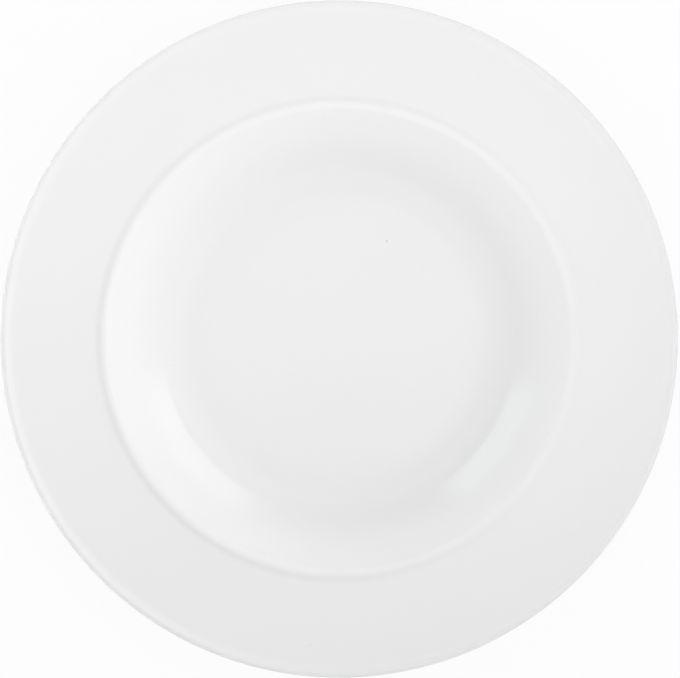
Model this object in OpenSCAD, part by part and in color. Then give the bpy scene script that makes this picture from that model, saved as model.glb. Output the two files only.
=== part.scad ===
// Rimmed soup plate in glazed white porcelain.
// The clay body is one fired piece: floor, wall, ridge, rim, lip and foot ring.
// Its glaze is wiped off the foot ring before firing, which leaves two separate coats.
// The section is a chain of arcs and straight stretches that run smoothly into each other.
// It is turned about the Z axis.
// The origin is on the table, at the centre of the foot ring, and Z points up.

/* [Plate] */
// Diameter over the glazed edge
plate_d = 230; // [180:1:300]

/* [Well] */
// Depth from the crest of the ridge down to the floor
well_depth = 22.5; // [18:0.5:28]
// Slope of the wall at its top, in degrees
wall_slope = 47; // [42:1:54]
// Radius of the wall's slight hollow
wall_r = 280; // [150:10:800]
// Radius of the sweep from the floor up into the wall
sweep_r = 20; // [12:1:30]
// Thickness of the floor, with its glaze
floor_t = 4.2; // [3.2:0.1:5.5]
// Thickness of the wall, with its glaze
wall_t = 4; // [3:0.1:5.5]

/* [Ridge] */
// How far the ridge stands above the rim beside it
ridge_h = 0.5; // [0.2:0.05:1]
// Radius of the crest
crest_r = 3.2; // [2:0.1:6]
// Radius of the hollow between the ridge and the rim
valley_r = 5.5; // [4:0.5:12]

/* [Rim] */
// Width of the rim in plan, from the crest of the ridge to the edge
rim_w = 34.5; // [26:0.5:50]
// How far the top of the lip stands above the crest of the ridge
rim_rise = 4.7; // [0:0.1:8]
// Radius of the rim's shallow dish
dish_r = 160; // [120:10:800]
// Thickness of the rim beside the ridge, with its glaze
rim_t = 4.2; // [3:0.1:5.5]
// Radius of the rim's rounded underside
under_r = 80; // [60:5:400]
// Radius of the hollow under the rim, where it joins the wall
armpit_r = 6; // [3:0.5:10]
// How many degrees steeper the lip stands than the rim
lip_turn = 28; // [6:1:40]
// Radius of the hollow where the rim turns up into the lip
lip_r = 6; // [3:0.5:24]
// Thickness of the rounded edge, with its glaze
edge_t = 2.4; // [2:0.1:4]

/* [Foot] */
// Distance in plan from the crest of the ridge in to the foot ring's outside at the table
foot_inset = 22.5; // [17:0.5:30]
// Width of the foot ring at the table, from flank to flank
foot_w = 4.6; // [4:0.1:7]
// Height of the foot ring inside, from the table to the base
foot_h = 4.5; // [3.6:0.1:6]
// Draft of the foot ring's two flanks, in degrees
foot_draft = 10; // [4:1:14]
// Radius of the hollow where the wall meets the foot ring
heel_r = 2.5; // [1.5:0.1:5]
// Radius of the hollow where the foot ring meets the base
base_r = 2; // [1:0.1:2.2]
// Radius of the bare land's two rounded corners
land_r = 1; // [0.6:0.1:1.2]

/* [Glaze] */
// Thickness of the fired glaze
glaze_t = 0.3; // [0.2:0.05:0.5]
// Height above the table at which the glaze stops on the foot ring
glaze_line_h = 1.4; // [1.2:0.1:1.8]

/* [Hidden] */

// Colours of the bare, polished body and of the clear glaze over it
body_colour = "#ECEAE4";
glaze_colour = "#F0F1F1";

// Steps around the axis, and along each arc of the section
$fn = 240;
arc_step_angle = 2.5;
least_arc_steps = 4;

// Points of the section closer than this share of the glaze are one point
weld_share = 0.02;
weld = glaze_t * weld_share;

// Well: the sweep leaves the flat floor level, and the wall's arc joins it to the crest's arc
floor_z = foot_h + floor_t;
ridge_d = plate_d - 2 * rim_w;
crest_c = [ridge_d / 2, floor_z + well_depth - crest_r];
wall_c = crest_c + (crest_r + wall_r) * normal_at(wall_slope);
sweep_slope = acos((wall_c.y - floor_z - sweep_r) / (wall_r - sweep_r));
sweep_c = wall_c - (wall_r - sweep_r) * normal_at(sweep_slope);

// Ridge: the crest's arc turns over and runs into the valley's arc
ridge_slope = acos(1 - ridge_h / (crest_r + valley_r));
valley_c = crest_c + (crest_r + valley_r) * [sin(ridge_slope), cos(ridge_slope)];
valley_floor = valley_c - [0, valley_r];

// Lip: the edge's round and the hollow that runs up into it
edge_r = edge_t / 2;
edge_c = [plate_d / 2 - edge_r, floor_z + well_depth + rim_rise - edge_r];
rim_slope = slope_of(valley_floor, edge_c + [0, edge_r]);
lip_slope = rim_slope + lip_turn;
lip_c = edge_c + (edge_r + lip_r) * normal_at(lip_slope);

// Rim: the dish's arc holds the valley's arc and the lip's arc inside it
dish_c = meeting(valley_c, dish_r - valley_r, lip_c, dish_r - lip_r);
rim_slope_in = slope_of(dish_c, valley_c) + 90;
rim_slope_out = slope_of(dish_c, lip_c) + 90;

// Underside of the rim: one arc under the rim's root and the edge's round
under_c = meeting(valley_floor, under_r - rim_t, edge_c, under_r - edge_r);
under_slope_out = slope_of(under_c, edge_c) + 90;

// Underside of the well: parallel to its inside, with a hollow where it meets the rim
outer_sweep_r = sweep_r + wall_t;
outer_wall_r = wall_r + wall_t;
armpit_c = meeting(under_c, under_r + armpit_r, wall_c, outer_wall_r + armpit_r);
under_slope_in = slope_of(under_c, armpit_c) + 90;
armpit_slope = slope_of(wall_c, armpit_c) + 90;

// Foot ring, outside: its flank leans in by the draft as it goes down.
// The hollow above it runs into the sweep or, where the ring stands further out, into the wall.
flank_out = [cos(foot_draft), -sin(foot_draft)];
foot_corner_out = [ridge_d / 2 - foot_inset, 0];
sweep_heel_slope = heel_slope_on(sweep_c, outer_sweep_r);
heel_on_sweep = sweep_heel_slope < sweep_slope;
heel_slope = heel_on_sweep ? sweep_heel_slope : heel_slope_on(wall_c, outer_wall_r);
heel_c = heel_on_sweep
    ? sweep_c - (outer_sweep_r + heel_r) * normal_at(heel_slope)
    : wall_c - (outer_wall_r + heel_r) * normal_at(heel_slope);

// Foot ring, inside
flank_in = [-cos(foot_draft), -sin(foot_draft)];
foot_corner_in = foot_corner_out - [foot_w, 0];
base_c = flank_point(foot_corner_in, flank_in, base_r, foot_h - base_r);

// Bare land: the ring of body that stands on the table
land_out_c = flank_point(foot_corner_out, flank_out, -glaze_t - land_r, land_r);
land_in_c = flank_point(foot_corner_in, flank_in, -glaze_t - land_r, land_r);

// Slope in degrees of the line from one point to another
function slope_of(from, to) = atan2(to.y - from.y, to.x - from.x);

// Unit vector square to a slope, on its upper side
function normal_at(slope) = [-sin(slope), cos(slope)];

// Point where a circle about c1 meets a circle about c2, on the left of the way from c1 to c2
function meeting(c1, r1, c2, r2) =
    let (
        gap = norm(c2 - c1),
        along = (gap ^ 2 + r1 ^ 2 - r2 ^ 2) / (2 * gap),
        aside = sqrt(r1 ^ 2 - along ^ 2),
        slope = slope_of(c1, c2)
    )
    c1 + along * [cos(slope), sin(slope)] + aside * normal_at(slope);

// Slope at which the underside's arc about a centre runs into the hollow above the foot ring
function heel_slope_on(centre, radius) =
    asin((heel_r - (centre - foot_corner_out) * flank_out) / (radius + heel_r)) - foot_draft;

// Point at height z that lies a distance out from a flank through a corner on the table
function flank_point(corner, outward, distance, z) =
    [corner.x + (distance - z * outward.y) / outward.x, z];

// Points along an arc, both ends included
function arc(centre, radius, from, to) =
    let (steps = max(least_arc_steps, ceil(abs(to - from) / arc_step_angle)))
    [
        for (i = [0:steps])
            let (angle = from + (to - from) * i / steps)
            centre + radius * [cos(angle), sin(angle)]
    ];

// One outline from several stretches, without the doubled points where they meet
function chain(stretches) =
    let (points = [for (stretch = stretches) each stretch])
    [
        for (i = [0:len(points) - 1])
            if (i == 0 || norm(points[i] - points[max(0, i - 1)]) > weld) points[i]
    ];

function reversed(points) = [for (i = [len(points) - 1:-1:0]) points[i]];

// End of a skin on a flank of the foot ring, cut square to the flank at the glaze line
function glaze_end(corner, outward, depth) =
    flank_point(corner, outward, -glaze_t, glaze_line_h) + (glaze_t - depth) * outward;

// Skin at a depth under the glazed surface: from the floor's centre over the lip to the foot ring
function face_skin(depth) =
    chain([
        [[0, floor_z - depth]],
        arc(sweep_c, sweep_r + depth, -90, sweep_slope - 90),
        arc(wall_c, wall_r + depth, sweep_slope - 90, wall_slope - 90),
        arc(crest_c, crest_r - depth, 90 + wall_slope, 90 - ridge_slope),
        arc(valley_c, valley_r + depth, -90 - ridge_slope, rim_slope_in - 90),
        arc(dish_c, dish_r + depth, rim_slope_in - 90, rim_slope_out - 90),
        arc(lip_c, lip_r + depth, rim_slope_out - 90, lip_slope - 90),
        arc(edge_c, edge_r - depth, 90 + lip_slope, under_slope_out - 90),
        arc(under_c, under_r - depth, under_slope_out - 90, under_slope_in - 90),
        arc(armpit_c, armpit_r + depth, 90 + under_slope_in, 90 + armpit_slope),
        arc(wall_c, outer_wall_r - depth, armpit_slope - 90, max(sweep_slope, heel_slope) - 90),
        heel_on_sweep ? arc(sweep_c, outer_sweep_r - depth, sweep_slope - 90, heel_slope - 90) : [],
        arc(heel_c, heel_r + depth, 90 + heel_slope, 180 - foot_draft),
        [glaze_end(foot_corner_out, flank_out, depth)]
    ]);

// Skin at a depth under the base's glazed surface: from the foot ring to the base's centre
function base_skin(depth) =
    chain([
        [glaze_end(foot_corner_in, flank_in, depth)],
        arc(base_c, base_r + depth, foot_draft, 90),
        [[0, foot_h + depth]]
    ]);

// Bare skin of the foot ring between the two glazes
function land_skin() =
    chain([
        arc(land_out_c, land_r, -foot_draft, -90),
        arc(land_in_c, land_r, -90, foot_draft - 180)
    ]);

// Layer between the glazed surface of a skin and the body under it
module coat(surface, bed) {
    color(glaze_colour)
        rotate_extrude()
            polygon(concat(surface, reversed(bed)));
}

module porcelain_body() {
    color(body_colour)
        rotate_extrude()
            polygon(chain([face_skin(glaze_t), land_skin(), base_skin(glaze_t)]));
}

module face_glaze() {
    coat(face_skin(0), face_skin(glaze_t));
}

module base_glaze() {
    coat(base_skin(0), base_skin(glaze_t));
}

porcelain_body();
face_glaze();
base_glaze();
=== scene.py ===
"""Visual model of a rimmed soup plate in white glazed porcelain, and the studio that it stands in.

The plate is a turned form. Each piece is a section in the XZ plane, drawn with arcs and straight
stretches, and spun once round the Z axis. Sizes are in millimetres and degrees, and meshes in metres.
"""

from __future__ import annotations

import logging
import math
from dataclasses import dataclass
from enum import Enum
from functools import cached_property
from typing import Any

import bmesh
import bpy
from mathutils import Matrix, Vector


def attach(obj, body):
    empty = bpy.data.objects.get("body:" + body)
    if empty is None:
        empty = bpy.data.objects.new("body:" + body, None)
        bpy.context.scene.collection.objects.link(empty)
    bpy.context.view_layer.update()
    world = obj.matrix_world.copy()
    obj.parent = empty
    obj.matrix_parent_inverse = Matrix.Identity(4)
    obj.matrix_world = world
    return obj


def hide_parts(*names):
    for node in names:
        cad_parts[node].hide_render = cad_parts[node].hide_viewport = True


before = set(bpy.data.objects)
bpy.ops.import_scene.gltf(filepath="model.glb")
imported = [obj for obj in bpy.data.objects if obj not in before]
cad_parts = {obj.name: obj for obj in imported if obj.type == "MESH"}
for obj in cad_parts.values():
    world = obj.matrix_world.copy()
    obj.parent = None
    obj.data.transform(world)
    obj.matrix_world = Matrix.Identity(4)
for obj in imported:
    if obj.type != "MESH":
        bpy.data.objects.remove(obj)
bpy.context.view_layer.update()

LOG = logging.getLogger("soup_plate")

MM = 0.001

# Width of the image in pixels, and of the camera's sensor in millimetres
IMAGE_W = 680
SENSOR_W = 36.0

# Steps round the axis, and how far a chord of the section may stand off its arc, in millimetres
TURN_STEPS = 192
CHORD_SAG = 0.004
LEAST_ARC_STEPS = 4

# Points closer than this are one point, in metres
WELD = 1e-6

# Middle of a lamp's panel in its own coordinates, which run from 0 to 1
PANEL_MIDDLE = 0.5

Triple = tuple[float, float, float]
Colour = Triple


class Node(Enum):
    """The solids that the visual pieces stand for."""

    BODY = "porcelain_body"
    FACE_GLAZE = "face_glaze"
    BASE_GLAZE = "base_glaze"


class Lamp(Enum):
    """The kinds of lamp: a fill has no mirror image in the glaze, and a softbox has a soft-edged one."""

    FILL = "fill"
    SOFTBOX = "softbox"


class Slot(Enum):
    """The material slots of the record."""

    BARE = "bare_porcelain"
    GLAZE = "white_glaze"


def heading(angle: float) -> Vector:
    """Unit vector of the section plane at an angle in degrees."""
    return Vector((math.cos(math.radians(angle)), math.sin(math.radians(angle))))


def normal_at(slope: float) -> Vector:
    """Unit vector square to a slope in degrees, on its upper side."""
    return heading(slope + 90.0)


def slope_of(start: Vector, end: Vector) -> float:
    """Slope in degrees of the line from one point to another."""
    return math.degrees(math.atan2(end.y - start.y, end.x - start.x))


def meeting(c1: Vector, r1: float, c2: Vector, r2: float) -> Vector:
    """Finds where two circles meet.

    Args:
        c1: Centre of the first circle.
        r1: Its radius.
        c2: Centre of the second circle.
        r2: Its radius.

    Returns:
        The meeting point on the left of the way from the first centre to the second.
    """
    gap = (c2 - c1).length
    along = (gap**2 + r1**2 - r2**2) / (2.0 * gap)
    slope = slope_of(c1, c2)
    return c1 + along * heading(slope) + math.sqrt(r1**2 - along**2) * normal_at(slope)


@dataclass(frozen=True)
class Stop:
    """A corner of the section, to which the pen draws a straight line."""

    at: Vector

    def reversed(self) -> Stop:
        """The same corner, met from the other side."""
        return self


@dataclass(frozen=True)
class Arc:
    """A round stretch of the section, drawn from a start angle to an end angle."""

    centre: Vector
    radius: float
    start: float
    end: float

    def reversed(self) -> Arc:
        """The same stretch, drawn the other way."""
        return Arc(self.centre, self.radius, self.end, self.start)

    @property
    def first(self) -> Vector:
        """The point that the stretch starts from."""
        return self.centre + self.radius * heading(self.start)

    @property
    def steps(self) -> int:
        """Number of chords that keep to the allowed sag."""
        step = 2.0 * math.degrees(math.acos(1.0 - CHORD_SAG / self.radius))
        return max(LEAST_ARC_STEPS, math.ceil(abs(self.end - self.start) / step))


Stroke = Stop | Arc
Skin = tuple[Stroke, ...]


def reversed_skin(skin: Skin) -> Skin:
    """The same skin, drawn from its other end."""
    return tuple(stroke.reversed() for stroke in reversed(skin))


@dataclass(frozen=True)
class PlateSection:
    """The plate's section: its sizes, the centres that follow from them, and its skins."""

    plate_d: float = 230.0

    # Well
    well_depth: float = 22.5
    wall_slope: float = 47.0
    wall_r: float = 280.0
    sweep_r: float = 20.0
    floor_t: float = 4.2
    wall_t: float = 4.0

    # Ridge
    ridge_h: float = 0.5
    crest_r: float = 3.2
    valley_r: float = 5.5

    # Rim
    rim_w: float = 34.5
    rim_rise: float = 4.7
    dish_r: float = 160.0
    rim_t: float = 4.2
    under_r: float = 80.0
    armpit_r: float = 6.0
    lip_turn: float = 28.0
    lip_r: float = 6.0
    edge_t: float = 2.4

    # Foot ring
    foot_inset: float = 22.5
    foot_w: float = 4.6
    foot_h: float = 4.5
    foot_draft: float = 10.0
    heel_r: float = 2.5
    base_r: float = 2.0
    land_r: float = 1.0

    # Glaze
    glaze_t: float = 0.3
    glaze_line_h: float = 1.4

    # Width of the ring of narrow faces that keeps a flat floor's shading flat beside its bend
    floor_ring: float = 3.0

    @cached_property
    def floor_z(self) -> float:
        """Height of the well's floor above the table."""
        return self.foot_h + self.floor_t

    @cached_property
    def crest_c(self) -> Vector:
        """Centre of the ridge's crest."""
        return Vector((self.plate_d / 2.0 - self.rim_w, self.floor_z + self.well_depth - self.crest_r))

    @cached_property
    def wall_c(self) -> Vector:
        """Centre of the wall's slight hollow."""
        return self.crest_c + (self.crest_r + self.wall_r) * normal_at(self.wall_slope)

    @cached_property
    def sweep_slope(self) -> float:
        """Slope at which the sweep from the floor runs into the wall."""
        rise = self.wall_c.y - self.floor_z - self.sweep_r
        return math.degrees(math.acos(rise / (self.wall_r - self.sweep_r)))

    @cached_property
    def sweep_c(self) -> Vector:
        """Centre of the sweep from the floor up into the wall."""
        return self.wall_c - (self.wall_r - self.sweep_r) * normal_at(self.sweep_slope)

    @cached_property
    def ridge_slope(self) -> float:
        """Steepest slope of the ridge's outer side."""
        return math.degrees(math.acos(1.0 - self.ridge_h / (self.crest_r + self.valley_r)))

    @cached_property
    def valley_c(self) -> Vector:
        """Centre of the hollow between the ridge and the rim."""
        return self.crest_c + (self.crest_r + self.valley_r) * heading(90.0 - self.ridge_slope)

    @cached_property
    def valley_floor(self) -> Vector:
        """Lowest point of the hollow between the ridge and the rim."""
        return self.valley_c - Vector((0.0, self.valley_r))

    @cached_property
    def edge_r(self) -> float:
        """Radius of the rounded edge."""
        return self.edge_t / 2.0

    @cached_property
    def edge_c(self) -> Vector:
        """Centre of the rounded edge."""
        height = self.floor_z + self.well_depth + self.rim_rise
        return Vector((self.plate_d / 2.0 - self.edge_r, height - self.edge_r))

    @cached_property
    def lip_slope(self) -> float:
        """Slope of the lip, where it runs into the edge."""
        return slope_of(self.valley_floor, self.edge_c + Vector((0.0, self.edge_r))) + self.lip_turn

    @cached_property
    def lip_c(self) -> Vector:
        """Centre of the hollow where the rim turns up into the lip."""
        return self.edge_c + (self.edge_r + self.lip_r) * normal_at(self.lip_slope)

    @cached_property
    def dish_c(self) -> Vector:
        """Centre of the rim's shallow dish."""
        return meeting(self.valley_c, self.dish_r - self.valley_r, self.lip_c, self.dish_r - self.lip_r)

    @cached_property
    def under_c(self) -> Vector:
        """Centre of the rim's rounded underside."""
        return meeting(
            self.valley_floor, self.under_r - self.rim_t, self.edge_c, self.under_r - self.edge_r
        )

    @cached_property
    def outer_sweep_r(self) -> float:
        """Radius of the sweep on the underside."""
        return self.sweep_r + self.wall_t

    @cached_property
    def outer_wall_r(self) -> float:
        """Radius of the wall on the underside."""
        return self.wall_r + self.wall_t

    @cached_property
    def armpit_c(self) -> Vector:
        """Centre of the hollow under the rim."""
        return meeting(
            self.under_c, self.under_r + self.armpit_r, self.wall_c, self.outer_wall_r + self.armpit_r
        )

    @cached_property
    def foot_corner_out(self) -> Vector:
        """Outer corner of the foot ring on the table."""
        return Vector((self.crest_c.x - self.foot_inset, 0.0))

    @cached_property
    def foot_corner_in(self) -> Vector:
        """Inner corner of the foot ring on the table."""
        return self.foot_corner_out - Vector((self.foot_w, 0.0))

    @cached_property
    def flank_out(self) -> Vector:
        """Outward direction of the foot ring's outer flank."""
        return heading(-self.foot_draft)

    @cached_property
    def flank_in(self) -> Vector:
        """Outward direction of the foot ring's inner flank."""
        return heading(180.0 + self.foot_draft)

    @cached_property
    def heel_slope(self) -> float:
        """Slope at which the underside runs into the hollow above the foot ring."""
        offset = self.heel_r - (self.sweep_c - self.foot_corner_out).dot(self.flank_out)
        return math.degrees(math.asin(offset / (self.outer_sweep_r + self.heel_r))) - self.foot_draft

    @cached_property
    def heel_c(self) -> Vector:
        """Centre of the hollow where the wall meets the foot ring."""
        return self.sweep_c - (self.outer_sweep_r + self.heel_r) * normal_at(self.heel_slope)

    @staticmethod
    def flank_point(corner: Vector, outward: Vector, distance: float, z: float) -> Vector:
        """Finds a point beside a flank of the foot ring.

        Args:
            corner: The flank's corner on the table.
            outward: The flank's outward direction.
            distance: How far out of the flank the point lies.
            z: The point's height.

        Returns:
            The point.
        """
        return Vector((corner.x + (distance - z * outward.y) / outward.x, z))

    def glaze_end(self, corner: Vector, outward: Vector, depth: float) -> Vector:
        """Finds the end of a skin at the glaze line.

        Args:
            corner: The flank's corner on the table.
            outward: The flank's outward direction.
            depth: Depth of the skin under the glazed surface.

        Returns:
            The end point.
        """
        line = self.flank_point(corner, outward, -self.glaze_t, self.glaze_line_h)
        return line + (self.glaze_t - depth) * outward

    def face_skin(self, depth: float) -> Skin:
        """Skin from the floor's centre over the lip and down to the outer glaze line.

        Args:
            depth: Depth of the skin under the glazed surface.

        Returns:
            Its strokes.
        """
        floor = self.floor_z - depth
        sweep = self.sweep_slope - 90.0
        wall = self.wall_slope - 90.0
        root = slope_of(self.dish_c, self.valley_c)
        outer = slope_of(self.dish_c, self.lip_c)
        lip = self.lip_slope - 90.0
        under = slope_of(self.under_c, self.edge_c)
        armpit = slope_of(self.under_c, self.armpit_c)
        shoulder = slope_of(self.wall_c, self.armpit_c)
        heel = self.heel_slope - 90.0
        return (
            Stop(Vector((0.0, floor))),
            Stop(Vector((self.sweep_c.x - self.floor_ring, floor))),
            Arc(self.sweep_c, self.sweep_r + depth, -90.0, sweep),
            Arc(self.wall_c, self.wall_r + depth, sweep, wall),
            Arc(self.crest_c, self.crest_r - depth, wall + 180.0, 90.0 - self.ridge_slope),
            Arc(self.valley_c, self.valley_r + depth, -90.0 - self.ridge_slope, root),
            Arc(self.dish_c, self.dish_r + depth, root, outer),
            Arc(self.lip_c, self.lip_r + depth, outer, lip),
            Arc(self.edge_c, self.edge_r - depth, lip + 180.0, under),
            Arc(self.under_c, self.under_r - depth, under, armpit),
            Arc(self.armpit_c, self.armpit_r + depth, armpit + 180.0, shoulder + 180.0),
            Arc(self.wall_c, self.outer_wall_r - depth, shoulder, sweep),
            Arc(self.sweep_c, self.outer_sweep_r - depth, sweep, heel),
            Arc(self.heel_c, self.heel_r + depth, heel + 180.0, 180.0 - self.foot_draft),
            Stop(self.glaze_end(self.foot_corner_out, self.flank_out, depth)),
        )

    def base_skin(self, depth: float) -> Skin:
        """Skin from the inner glaze line to the centre of the base.

        Args:
            depth: Depth of the skin under the glazed surface.

        Returns:
            Its strokes.
        """
        height = self.foot_h - self.base_r
        centre = self.flank_point(self.foot_corner_in, self.flank_in, self.base_r, height)
        base = self.foot_h + depth
        return (
            Stop(self.glaze_end(self.foot_corner_in, self.flank_in, depth)),
            Arc(centre, self.base_r + depth, self.foot_draft, 90.0),
            Stop(Vector((centre.x - self.floor_ring, base))),
            Stop(Vector((0.0, base))),
        )

    def land_skin(self) -> Skin:
        """Bare skin of the foot ring between the two glaze lines.

        Returns:
            Its strokes.
        """
        inset = -self.glaze_t - self.land_r
        outer = self.flank_point(self.foot_corner_out, self.flank_out, inset, self.land_r)
        inner = self.flank_point(self.foot_corner_in, self.flank_in, inset, self.land_r)
        return (
            Arc(outer, self.land_r, -self.foot_draft, -90.0),
            Arc(inner, self.land_r, -90.0, self.foot_draft - 180.0),
        )

    def bead(self, corner: Vector, outward: Vector, turn: float) -> Arc:
        """Round end of a coat at a glaze line.

        Args:
            corner: The flank's corner on the table.
            outward: The flank's outward direction.
            turn: Angle from the coat's surface round to its bed.

        Returns:
            The arc, from the surface to the bed.
        """
        centre = self.glaze_end(corner, outward, self.glaze_t / 2.0)
        start = math.degrees(math.atan2(outward.y, outward.x))
        return Arc(centre, self.glaze_t / 2.0, start, start + turn)


def upright(point: Vector) -> Vector:
    """Point of the section plane, in millimetres, as a point of space in metres."""
    return Vector((point.x * MM, 0.0, point.y * MM))


def put_in_scene(name: str, data: bpy.types.ID) -> bpy.types.Object:
    """Makes an object at the origin and links it to the scene.

    Args:
        name: Name of the object.
        data: Its mesh, light or camera.

    Returns:
        The object.
    """
    made = bpy.data.objects.new(name, data)
    bpy.context.scene.collection.objects.link(made)
    return made


class Pen:
    """Draws a section by extruding and spinning its tip, and turns the section about Z."""

    def __init__(self, skin: Skin) -> None:
        """Draws a skin.

        Args:
            skin: Strokes of the section, from axis to axis.
        """
        self.mesh = bmesh.new()
        self.tip: bmesh.types.BMVert | None = None
        for stroke in skin:
            if isinstance(stroke, Arc):
                self.line_to(stroke.first)
                self.sweep(stroke)
            else:
                self.line_to(stroke.at)

    def line_to(self, target: Vector) -> None:
        """Draws a straight line from the tip, or sets the tip down if nothing is drawn yet.

        Args:
            target: End of the line in the section plane.
        """
        end = upright(target)
        if self.tip is None:
            self.tip = self.mesh.verts.new(end)
            return
        step = end - self.tip.co
        if step.length > WELD:
            self.tip = bmesh.ops.extrude_vert_indiv(self.mesh, verts=[self.tip])["verts"][0]
            bmesh.ops.translate(self.mesh, verts=[self.tip], vec=step)

    def sweep(self, arc: Arc) -> None:
        """Spins the tip along an arc that starts where the tip is.

        Args:
            arc: The stretch to draw.
        """
        spun = bmesh.ops.spin(
            self.mesh,
            geom=[self.tip],
            cent=upright(arc.centre),
            axis=(0.0, -1.0, 0.0),
            angle=math.radians(arc.end - arc.start),
            steps=arc.steps,
        )
        self.tip = next(part for part in spun["geom_last"] if isinstance(part, bmesh.types.BMVert))

    def turn(self, name: str) -> bpy.types.Object:
        """Spins the section once round Z and makes it an object of the scene.

        Args:
            name: Name of the object and of its mesh.

        Returns:
            The object, at the origin.
        """
        bmesh.ops.spin(
            self.mesh,
            geom=self.mesh.verts[:] + self.mesh.edges[:],
            cent=(0.0, 0.0, 0.0),
            axis=(0.0, 0.0, 1.0),
            angle=math.tau,
            steps=TURN_STEPS,
            use_merge=True,
        )
        bmesh.ops.remove_doubles(self.mesh, verts=self.mesh.verts[:], dist=WELD)
        bmesh.ops.recalc_face_normals(self.mesh, faces=self.mesh.faces[:])
        for face in self.mesh.faces:
            face.smooth = True
        mesh = bpy.data.meshes.new(name)
        self.mesh.to_mesh(mesh)
        self.mesh.free()
        return put_in_scene(name, mesh)


class Wire:
    """An output socket of a node, with arithmetic that adds Math nodes."""

    def __init__(self, graph: Graph, socket: bpy.types.NodeSocket) -> None:
        """Wraps a socket of a graph."""
        self.graph = graph
        self.socket = socket

    def math(self, operation: str, first: Value, second: Value = 0.0) -> Wire:
        """Adds a Math node.

        Args:
            operation: The node's operation.
            first: Its first value.
            second: Its second value.

        Returns:
            The result.
        """
        values = {0: first, 1: second}
        return self.graph.add("ShaderNodeMath", {"operation": operation}, values)["Value"]

    def __add__(self, other: Value) -> Wire:
        """Sum."""
        return self.math("ADD", self, other)

    def __radd__(self, other: Value) -> Wire:
        """Sum with a number on the left."""
        return self.math("ADD", other, self)

    def __sub__(self, other: Value) -> Wire:
        """Difference."""
        return self.math("SUBTRACT", self, other)

    def __rsub__(self, other: Value) -> Wire:
        """Difference from a number on the left."""
        return self.math("SUBTRACT", other, self)

    def __mul__(self, other: Value) -> Wire:
        """Product."""
        return self.math("MULTIPLY", self, other)

    def __rmul__(self, other: Value) -> Wire:
        """Product with a number on the left."""
        return self.math("MULTIPLY", other, self)

    def __truediv__(self, other: Value) -> Wire:
        """Quotient."""
        return self.math("DIVIDE", self, other)

    def __abs__(self) -> Wire:
        """Size without its sign."""
        return self.math("ABSOLUTE", self)

    def sine(self) -> Wire:
        """Sine of an angle in radians."""
        return self.math("SINE", self)

    def at_most(self, other: Value) -> Wire:
        """The smaller of two values."""
        return self.math("MINIMUM", self, other)


Value = Wire | float


class Made:
    """A node that was added to a graph."""

    def __init__(self, graph: Graph, node: bpy.types.Node) -> None:
        """Wraps a node of a graph."""
        self.graph = graph
        self.node = node

    def __getitem__(self, name: str) -> Wire:
        """Finds an output.

        Args:
            name: Its identifier or name.

        Returns:
            The output.
        """
        outputs = self.node.outputs
        found = next((out for out in outputs if out.identifier == name), None)
        return Wire(self.graph, found or outputs[name])


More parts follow.
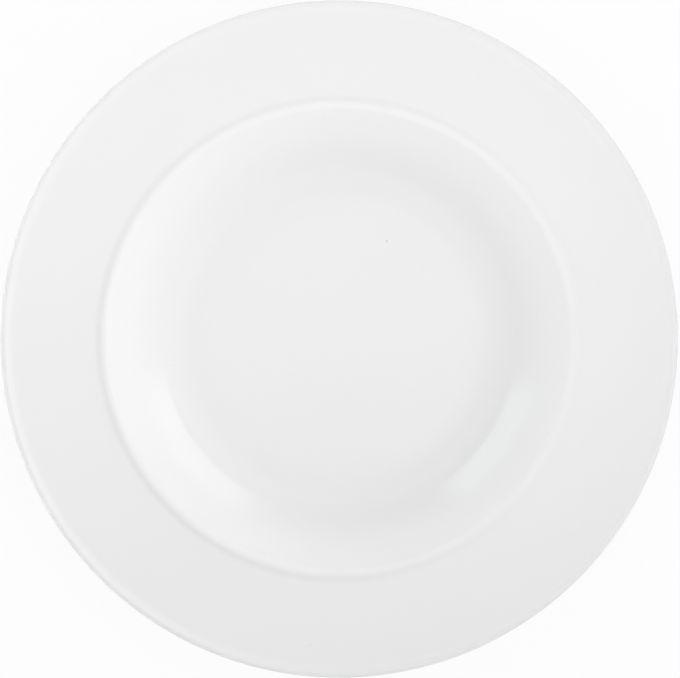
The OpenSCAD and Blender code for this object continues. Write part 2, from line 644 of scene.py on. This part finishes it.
class Graph:
    """The node tree of a material or of the world."""

    def __init__(self, tree: bpy.types.NodeTree) -> None:
        """Takes over a tree and empties it."""
        self.tree = tree
        self.tree.nodes.clear()

    def add(
        self,
        kind: str,
        settings: dict[str, Any] | None = None,
        sockets: dict[str | int, Any] | None = None,
    ) -> Made:
        """Adds a node.

        Args:
            kind: The node's type.
            settings: Properties of the node, which are set first.
            sockets: Values or wires of its inputs, by place, identifier or name.

        Returns:
            The node.
        """
        node = self.tree.nodes.new(kind)
        for name, value in (settings or {}).items():
            setattr(node, name, value)
        for name, value in (sockets or {}).items():
            found = next((put for put in node.inputs if put.identifier == name), None)
            target = found or node.inputs[name]
            if isinstance(value, Wire):
                self.tree.links.new(value.socket, target)
            else:
                target.default_value = value
        return Made(self, node)

    def blend(self, factor: Value, first: Wire | Colour, second: Wire | Colour) -> Wire:
        """Mixes two colours.

        Args:
            factor: Share of the second colour.
            first: The first colour.
            second: The second colour.

        Returns:
            The mixed colour.
        """
        pair = [value if isinstance(value, Wire) else (*value, 1.0) for value in (first, second)]
        sockets = {"Factor_Float": factor, "A_Color": pair[0], "B_Color": pair[1]}
        return self.add("ShaderNodeMix", {"data_type": "RGBA"}, sockets)["Result_Color"]

    def vector(self, operation: str, first: Wire, second: Wire | Triple = (0.0, 0.0, 0.0)) -> Made:
        """Adds a Vector Math node.

        Args:
            operation: The node's operation.
            first: Its first vector.
            second: Its second vector.

        Returns:
            The node.
        """
        return self.add("ShaderNodeVectorMath", {"operation": operation}, {0: first, 1: second})

    def noise(self, place: Wire, size_mm: float, detail: float = 2.0) -> Wire:
        """Noise with features of a real size.

        Args:
            place: Coordinates in metres.
            size_mm: Size of the largest features.
            detail: Octaves of finer noise.

        Returns:
            Values from 0 to 1.
        """
        sockets = {"Vector": place, "Scale": 1.0 / (size_mm * MM), "Detail": detail}
        return self.add("ShaderNodeTexNoise", None, sockets)["Fac"]

    def fall(self, value: Wire, full: float, none: float) -> Wire:
        """Mask that falls smoothly from 1 to 0.

        Args:
            value: What the mask depends on.
            full: Value up to which the mask is 1.
            none: Value from which it is 0.

        Returns:
            The mask.
        """
        settings = {"interpolation_type": "SMOOTHSTEP"}
        sockets = {"Value": value, "From Min": full, "From Max": none, "To Min": 1.0, "To Max": 0.0}
        return self.add("ShaderNodeMapRange", settings, sockets)["Result"]

    def lies_at(self) -> tuple[Wire, Wire, Wire]:
        """Finds where a point of the surface lies.

        Returns:
            Object coordinates, the same laid flat on the table, and the distance from the plate's axis.
        """
        place = self.add("ShaderNodeTexCoord")["Object"]
        flat = self.vector("MULTIPLY", place, (1.0, 1.0, 0.0))["Vector"]
        return place, flat, self.vector("LENGTH", flat)["Value"]

    def relief(self, height: Wire) -> Wire:
        """Normal of a fine relief.

        Args:
            height: Height in metres.

        Returns:
            The normal.
        """
        sockets = {"Strength": 1.0, "Distance": 1.0, "Height": height}
        return self.add("ShaderNodeBump", None, sockets)["Normal"]


def new_material(name: str) -> tuple[bpy.types.Material, Graph]:
    """Makes a material that has no nodes yet.

    Args:
        name: Name of the material.

    Returns:
        The material, and its empty graph.
    """
    made = bpy.data.materials.new(name)
    made.use_nodes = True
    return made, Graph(made.node_tree)


@dataclass(frozen=True)
class Band:
    """A ring of the glaze with a tint of its own: its radius and its reach to both sides, in millimetres."""

    radius: float
    reach: float


@dataclass(frozen=True)
class Speck:
    """A dark speck in the glaze: its place and radius in millimetres, and how strongly it shows."""

    x: float
    y: float
    radius: float
    strength: float
    core_share: float = 0.3


@dataclass(frozen=True)
class GlazeFinish:
    """Clear glossy glaze over white porcelain."""

    name: str
    white: Colour = (0.87, 0.87, 0.87)
    pooled: Colour = (0.852, 0.856, 0.854)
    thin: Colour = (0.872, 0.871, 0.869)
    speck_colour: Colour = (0.42, 0.41, 0.39)
    ior: float = 1.5
    smoothest: float = 0.03
    roughness_range: float = 0.04
    mottle_mm: float = 45.0
    mottle_detail: float = 3.0
    peel_mm: float = 6.0
    peel_height: float = 0.003
    pool_bands: tuple[Band, ...] = ()
    thin_bands: tuple[Band, ...] = ()
    specks: tuple[Speck, ...] = ()
    ring_pitch: float = 0.0
    ring_height: float = 0.0
    wander_mm: float = 25.0
    wander_turn: float = 1.5

    def material(self) -> bpy.types.Material:
        """Makes the finish's material.

        Returns:
            The material.
        """
        made, graph = new_material(self.name)
        place, flat, radius = graph.lies_at()
        mottle = graph.noise(place, self.mottle_mm, self.mottle_detail)
        peel = graph.noise(place, self.peel_mm)

        colour: Wire | Colour = graph.blend(mottle, self.white, self.pooled)
        for tint, bands in ((self.pooled, self.pool_bands), (self.thin, self.thin_bands)):
            for band in bands:
                mask = graph.fall(abs(radius - band.radius * MM), 0.0, band.reach * MM)
                colour = graph.blend(mask, colour, tint)
        for speck in self.specks:
            away = graph.vector("DISTANCE", flat, (speck.x * MM, speck.y * MM, 0.0))["Value"]
            mask = graph.fall(away, speck.core_share * speck.radius * MM, speck.radius * MM)
            colour = graph.blend(mask * speck.strength, colour, self.speck_colour)

        height = peel * (self.peel_height * MM)
        if self.ring_height > 0.0:
            wander = graph.noise(place, self.wander_mm) * self.wander_turn
            turns = radius * (math.tau / (self.ring_pitch * MM))
            height = height + (turns + wander).sine() * (self.ring_height * MM)
        shader = graph.add(
            "ShaderNodeBsdfPrincipled",
            None,
            {
                "Base Color": colour,
                "Roughness": self.smoothest + mottle * self.roughness_range,
                "IOR": self.ior,
                "Normal": graph.relief(height),
            },
        )
        graph.add("ShaderNodeOutputMaterial", None, {"Surface": shader["BSDF"]})
        return made


@dataclass(frozen=True)
class BareFinish:
    """Fired porcelain without glaze, polished smooth where the foot ring stands on the table."""

    name: str
    clay: Colour = (0.83, 0.81, 0.77)
    deep: Colour = (0.77, 0.745, 0.70)
    rub_colour: Colour = (0.50, 0.49, 0.47)
    rub_share: float = 0.35
    rub_levels: tuple[float, float] = (0.55, 0.75)
    cloud_mm: float = 18.0
    cloud_share: float = 0.6
    grain_mm: float = 0.35
    grain_height: float = 0.004
    clay_detail: float = 3.0
    streak_across: float = 0.25
    streak_along: float = 14.0
    streak_detail: float = 2.0
    roughness: float = 0.55
    polish: float = 0.15

    def material(self) -> bpy.types.Material:
        """Makes the finish's material.

        Returns:
            The material.
        """
        made, graph = new_material(self.name)
        place, _, radius = graph.lies_at()
        cloud = graph.noise(place, self.cloud_mm, self.clay_detail)
        grain = graph.noise(place, self.grain_mm, self.clay_detail)
        rubbed = 1.0 - graph.fall(self.streaks(graph, place, radius), *self.rub_levels)

        mixed = cloud * self.cloud_share + grain * (1.0 - self.cloud_share)
        colour = graph.blend(mixed, self.clay, self.deep)
        colour = graph.blend(rubbed * self.rub_share, colour, self.rub_colour)
        shader = graph.add(
            "ShaderNodeBsdfPrincipled",
            None,
            {
                "Base Color": colour,
                "Roughness": self.roughness - rubbed * self.polish,
                "Normal": graph.relief(grain * (self.grain_height * MM)),
            },
        )
        graph.add("ShaderNodeOutputMaterial", None, {"Surface": shader["BSDF"]})
        return made

    def streaks(self, graph: Graph, place: Wire, radius: Wire) -> Wire:
        """Noise that is fine across the foot ring and long round it.

        Args:
            graph: The material's graph.
            place: Object coordinates.
            radius: Distance from the plate's axis.

        Returns:
            Values from 0 to 1.
        """
        around = graph.vector("MULTIPLY", place, (1.0 / (self.streak_along * MM),) * 3)["Vector"]
        across = graph.add("ShaderNodeCombineXYZ", None, {"Z": radius / (self.streak_across * MM)})["Vector"]
        where = graph.vector("ADD", around, across)["Vector"]
        sockets = {"Vector": where, "Scale": 1.0, "Detail": self.streak_detail}
        return graph.add("ShaderNodeTexNoise", None, sockets)["Fac"]


Finish = GlazeFinish | BareFinish


@dataclass
class TurnedPiece:
    """A piece of the plate: a section turned about Z, with its finish."""

    section: PlateSection
    name: str
    node: Node
    slot: Slot

    def outline(self) -> Skin:
        """Strokes of the piece's section, from axis to axis."""
        raise NotImplementedError

    def finish(self) -> Finish:
        """The finish of the piece's surface."""
        raise NotImplementedError

    def build(self) -> bpy.types.Object:
        """Turns the piece's section and ties it to the solid that it stands for.

        Returns:
            The piece.
        """
        piece = Pen(self.outline()).turn(self.name)
        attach(piece, "root")
        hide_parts(self.node.value)
        return piece

    def dress(self, piece: bpy.types.Object) -> None:
        """Gives the piece its finish.

        Args:
            piece: The piece.
        """
        piece.data.materials.append(self.finish().material())


@dataclass
class PorcelainBody(TurnedPiece):
    """The fired clay body, which shows bare on the foot ring."""

    name: str = "plate_body"
    node: Node = Node.BODY
    slot: Slot = Slot.BARE

    def outline(self) -> Skin:
        """The body's skin under both coats, and its bare land."""
        depth = self.section.glaze_t
        return self.section.face_skin(depth) + self.section.land_skin() + self.section.base_skin(depth)

    def finish(self) -> Finish:
        """Bare clay, rubbed where the plate stands."""
        return BareFinish("bare_porcelain_foot")


@dataclass
class FaceGlaze(TurnedPiece):
    """The coat of glaze over the face, the lip and the underside as far as the foot ring."""

    name: str = "plate_face_glaze"
    node: Node = Node.FACE_GLAZE
    slot: Slot = Slot.GLAZE
    sweep_pool: Band = Band(54.0, 9.0)
    crest_reach: float = 1.5
    edge_inset: float = 0.8
    edge_reach: float = 1.0
    specks: tuple[Speck, ...] = (
        Speck(16.5, 34.0, 0.45, 0.55),
        Speck(-9.9, -104.0, 0.35, 0.3),
        Speck(-57.4, -9.1, 0.35, 0.25),
    )

    def outline(self) -> Skin:
        """The coat's surface, its round end on the foot ring, and its bed.

        Returns:
            Their strokes, in this order.
        """
        plate = self.section
        bead = plate.bead(plate.foot_corner_out, plate.flank_out, -180.0)
        return plate.face_skin(0.0) + (bead,) + reversed_skin(plate.face_skin(plate.glaze_t))

    def finish(self) -> Finish:
        """Glaze that pools in the sweep, runs thin on the crest and the edge, and has a few specks.

        Returns:
            The finish.
        """
        crest = Band(self.section.crest_c.x, self.crest_reach)
        edge = Band(self.section.plate_d / 2.0 - self.edge_inset, self.edge_reach)
        return GlazeFinish(
            "white_face_glaze",
            pool_bands=(self.sweep_pool,),
            thin_bands=(crest, edge),
            specks=self.specks,
        )


@dataclass
class BaseGlaze(TurnedPiece):
    """The coat of glaze on the base inside the foot ring."""

    name: str = "plate_base_glaze"
    node: Node = Node.BASE_GLAZE
    slot: Slot = Slot.GLAZE
    foot_pool: Band = Band(51.5, 2.5)
    ring_pitch: float = 2.3
    ring_height: float = 0.005

    def outline(self) -> Skin:
        """The coat's bed, its round end on the foot ring, and its surface.

        Returns:
            Their strokes, in this order.
        """
        plate = self.section
        bead = plate.bead(plate.foot_corner_in, plate.flank_in, 180.0)
        return reversed_skin(plate.base_skin(plate.glaze_t)) + (bead.reversed(),) + plate.base_skin(0.0)

    def finish(self) -> Finish:
        """Glaze that pools along the foot ring and shows faint turning rings.

        Returns:
            The finish.
        """
        return GlazeFinish(
            "white_base_glaze",
            pool_bands=(self.foot_pool,),
            ring_pitch=self.ring_pitch,
            ring_height=self.ring_height,
        )


@dataclass(frozen=True)
class StudioLamp:
    """A rectangular lamp that faces the plate, with its place in degrees and its sizes in metres."""

    name: str
    kind: Lamp
    azimuth: float
    elevation: float
    distance: float
    width: float
    height: float
    radiance: float
    colour: Colour = (1.0, 1.0, 1.0)
    even_share: tuple[float, float] = (0.5, 0.8)

    def build(self) -> bpy.types.Object:
        """Hangs the lamp in its place.

        Returns:
            The lamp.
        """
        light = bpy.data.lights.new(self.name, "AREA")
        light.shape = "RECTANGLE"
        light.size = self.width
        light.size_y = self.height
        light.energy = self.radiance * math.pi * self.width * self.height
        light.color = self.colour
        if self.kind is Lamp.SOFTBOX:
            self.soften(light)
        made = put_in_scene(self.name, light)
        level = math.cos(math.radians(self.elevation))
        around = heading(self.azimuth)
        away = Vector((around.x * level, around.y * level, math.sin(math.radians(self.elevation))))
        made.location = away * self.distance
        made.rotation_euler = away.to_track_quat("Z", "Y").to_euler()
        made.visible_camera = False
        made.visible_glossy = self.kind is Lamp.SOFTBOX
        return made

    def soften(self, light: bpy.types.Light) -> None:
        """Lets the lamp's glow fade from its even middle to its edges.

        Args:
            light: The lamp's light.
        """
        light.use_nodes = True
        graph = Graph(light.node_tree)
        panel = graph.add("ShaderNodeNewGeometry")["Parametric"]
        place = graph.add("ShaderNodeSeparateXYZ", None, {0: panel})
        sides = [
            graph.fall(abs(place[axis] - PANEL_MIDDLE), share * PANEL_MIDDLE, PANEL_MIDDLE)
            for axis, share in zip("XY", self.even_share)
        ]
        glow = graph.add("ShaderNodeEmission", None, {"Strength": sides[0] * sides[1]})["Emission"]
        graph.add("ShaderNodeOutputLight", None, {"Surface": glow})


@dataclass
class Studio:
    """The pale floor, the light and the camera straight above the plate."""

    section: PlateSection

    # Camera's place in millimetres, and the radius of the plate's edge in the image
    camera_height: float = 1200.0
    camera_shift: tuple[float, float] = (0.27, 0.0)
    edge_pixels: float = 338.7

    # Radius of the floor in metres, and of its window in millimetres
    floor_radius: float = 8.0
    window_radius: float = 52.0
    floor_steps: int = 64
    floor_colour: Colour = (0.95, 0.95, 0.95)
    floor_glow: float = 0.92

    # Strength of the room's light, and the sines of the elevations where its walls begin and end to dim
    wall_light: float = 0.5
    ceiling_light: float = 0.12
    wall_top: tuple[float, float] = (0.77, 0.93)

    # Name, kind, azimuth, elevation, distance, width, height and radiance
    lamps: tuple[StudioLamp, ...] = (
        StudioLamp("overhead_fill", Lamp.FILL, 92.0, 83.0, 0.25, 0.27, 0.15, 2.04),
        StudioLamp("top_fill", Lamp.FILL, 120.0, 45.0, 0.5, 0.3, 0.3, 0.75),
        StudioLamp("right_fill", Lamp.FILL, 330.0, 50.0, 1.6, 1.0, 1.0, 2.2),
        StudioLamp("low_right_fill", Lamp.FILL, 350.0, 12.0, 1.6, 1.0, 0.4, 1.35),
        StudioLamp("low_left_fill", Lamp.FILL, 190.0, 12.0, 1.6, 1.0, 0.4, 1.3),
        StudioLamp("left_card", Lamp.FILL, 195.0, 5.0, 0.6, 0.6, 0.09, 1.6),
        StudioLamp("left_strip", Lamp.FILL, 190.0, 2.3, 0.45, 0.6, 0.034, 5.0),
        StudioLamp("top_strip", Lamp.FILL, 95.0, 2.3, 0.45, 0.6, 0.034, 5.2),
        StudioLamp("bottom_strip", Lamp.FILL, 270.0, 2.3, 0.45, 0.6, 0.034, 2.0),
        StudioLamp("softbox_upper_right", Lamp.SOFTBOX, 37.0, 8.7, 1.2, 1.4, 0.13, 1.2),
        StudioLamp("softbox_upper_left", Lamp.SOFTBOX, 147.0, 8.7, 1.2, 1.15, 0.13, 1.3, (0.93, 0.97, 1.0)),
    )

    def build_floor(self) -> bpy.types.Object:
        """Makes a wide floor with a round window under the base, which no view from above shows.

        Returns:
            The floor.
        """
        mesh = bmesh.new()
        window = self.window_radius * MM
        bmesh.ops.create_circle(mesh, cap_ends=False, radius=window, segments=self.floor_steps)
        outward = bmesh.ops.extrude_edge_only(mesh, edges=mesh.edges[:])["geom"]
        rim = [part for part in outward if isinstance(part, bmesh.types.BMVert)]
        bmesh.ops.scale(mesh, verts=rim, vec=(self.floor_radius / window,) * 3)
        bmesh.ops.recalc_face_normals(mesh, faces=mesh.faces[:])
        if mesh.faces[:][0].normal.z < 0.0:
            bmesh.ops.reverse_faces(mesh, faces=mesh.faces[:])
        data = bpy.data.meshes.new("studio_floor")
        mesh.to_mesh(data)
        mesh.free()
        data.materials.append(self.floor_material())
        floor = put_in_scene("studio_floor", data)
        return floor

    def floor_material(self) -> bpy.types.Material:
        """Pale floor that reads white, keeps the shadow, and is clear from below.

        Returns:
            The material.
        """
        made, graph = new_material("pale_studio_floor")
        path = graph.add("ShaderNodeLightPath")
        seen = (path["Is Camera Ray"] + path["Is Glossy Ray"] + path["Is Transmission Ray"]).at_most(1.0)
        paint = graph.add("ShaderNodeBsdfDiffuse", None, {"Color": (*self.floor_colour, 1.0)})["BSDF"]
        glow = graph.add("ShaderNodeEmission", None, {"Strength": 1.0})["Emission"]
        white = seen * self.floor_glow
        top = graph.add("ShaderNodeMixShader", None, {0: white, 1: paint, 2: glow})["Shader"]
        clear = graph.add("ShaderNodeBsdfTransparent")["BSDF"]
        below = graph.add("ShaderNodeNewGeometry")["Backfacing"]
        both = graph.add("ShaderNodeMixShader", None, {0: below, 1: top, 2: clear})["Shader"]
        graph.add("ShaderNodeOutputMaterial", None, {"Surface": both})
        return made

    def build_world(self) -> None:
        """Makes a plain room with pale walls and a dim ceiling."""
        world = bpy.data.worlds.new("pale_room")
        world.use_nodes = True
        graph = Graph(world.node_tree)
        way = graph.add("ShaderNodeTexCoord")["Generated"]
        height = graph.add("ShaderNodeSeparateXYZ", None, {0: way})["Z"]
        wall = graph.fall(height, *self.wall_top)
        strength = self.ceiling_light + wall * (self.wall_light - self.ceiling_light)
        paint = {"Color": (1.0, 1.0, 1.0, 1.0), "Strength": strength}
        light = graph.add("ShaderNodeBackground", None, paint)["Background"]
        graph.add("ShaderNodeOutputWorld", None, {"Surface": light})
        bpy.context.scene.world = world

    def build_camera(self) -> bpy.types.Object:
        """Hangs the camera straight above the plate.

        Returns:
            The camera.
        """
        lens = bpy.data.cameras.new("overhead_camera")
        lens.sensor_width = SENSOR_W
        reach = self.camera_height - self.section.edge_c.y
        lens.lens = self.edge_pixels * reach / (self.section.plate_d / 2.0) * SENSOR_W / IMAGE_W
        camera = put_in_scene("overhead_camera", lens)
        camera.location = Vector((*self.camera_shift, self.camera_height)) * MM
        bpy.context.scene.camera = camera
        return camera

    def build(self) -> None:
        """Sets up the camera, the floor and the light."""
        self.build_camera()
        self.build_floor()
        self.build_world()
        for lamp in self.lamps:
            lamp.build()
        bpy.context.scene.view_settings.view_transform = "Standard"


def main() -> None:
    """Builds the studio and the plate, and reports each piece."""
    logging.basicConfig(level=logging.INFO, format="%(name)s: %(message)s")
    LOG.info("solids in the frame: %s", ", ".join(sorted(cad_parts)))
    section = PlateSection()
    Studio(section).build()
    for maker in (PorcelainBody(section), FaceGlaze(section), BaseGlaze(section)):
        piece = maker.build()
        maker.dress(piece)
        LOG.info("%s: %d faces, stands for %s", piece.name, len(piece.data.polygons), maker.node.value)


if __name__ == "__main__":
    main()
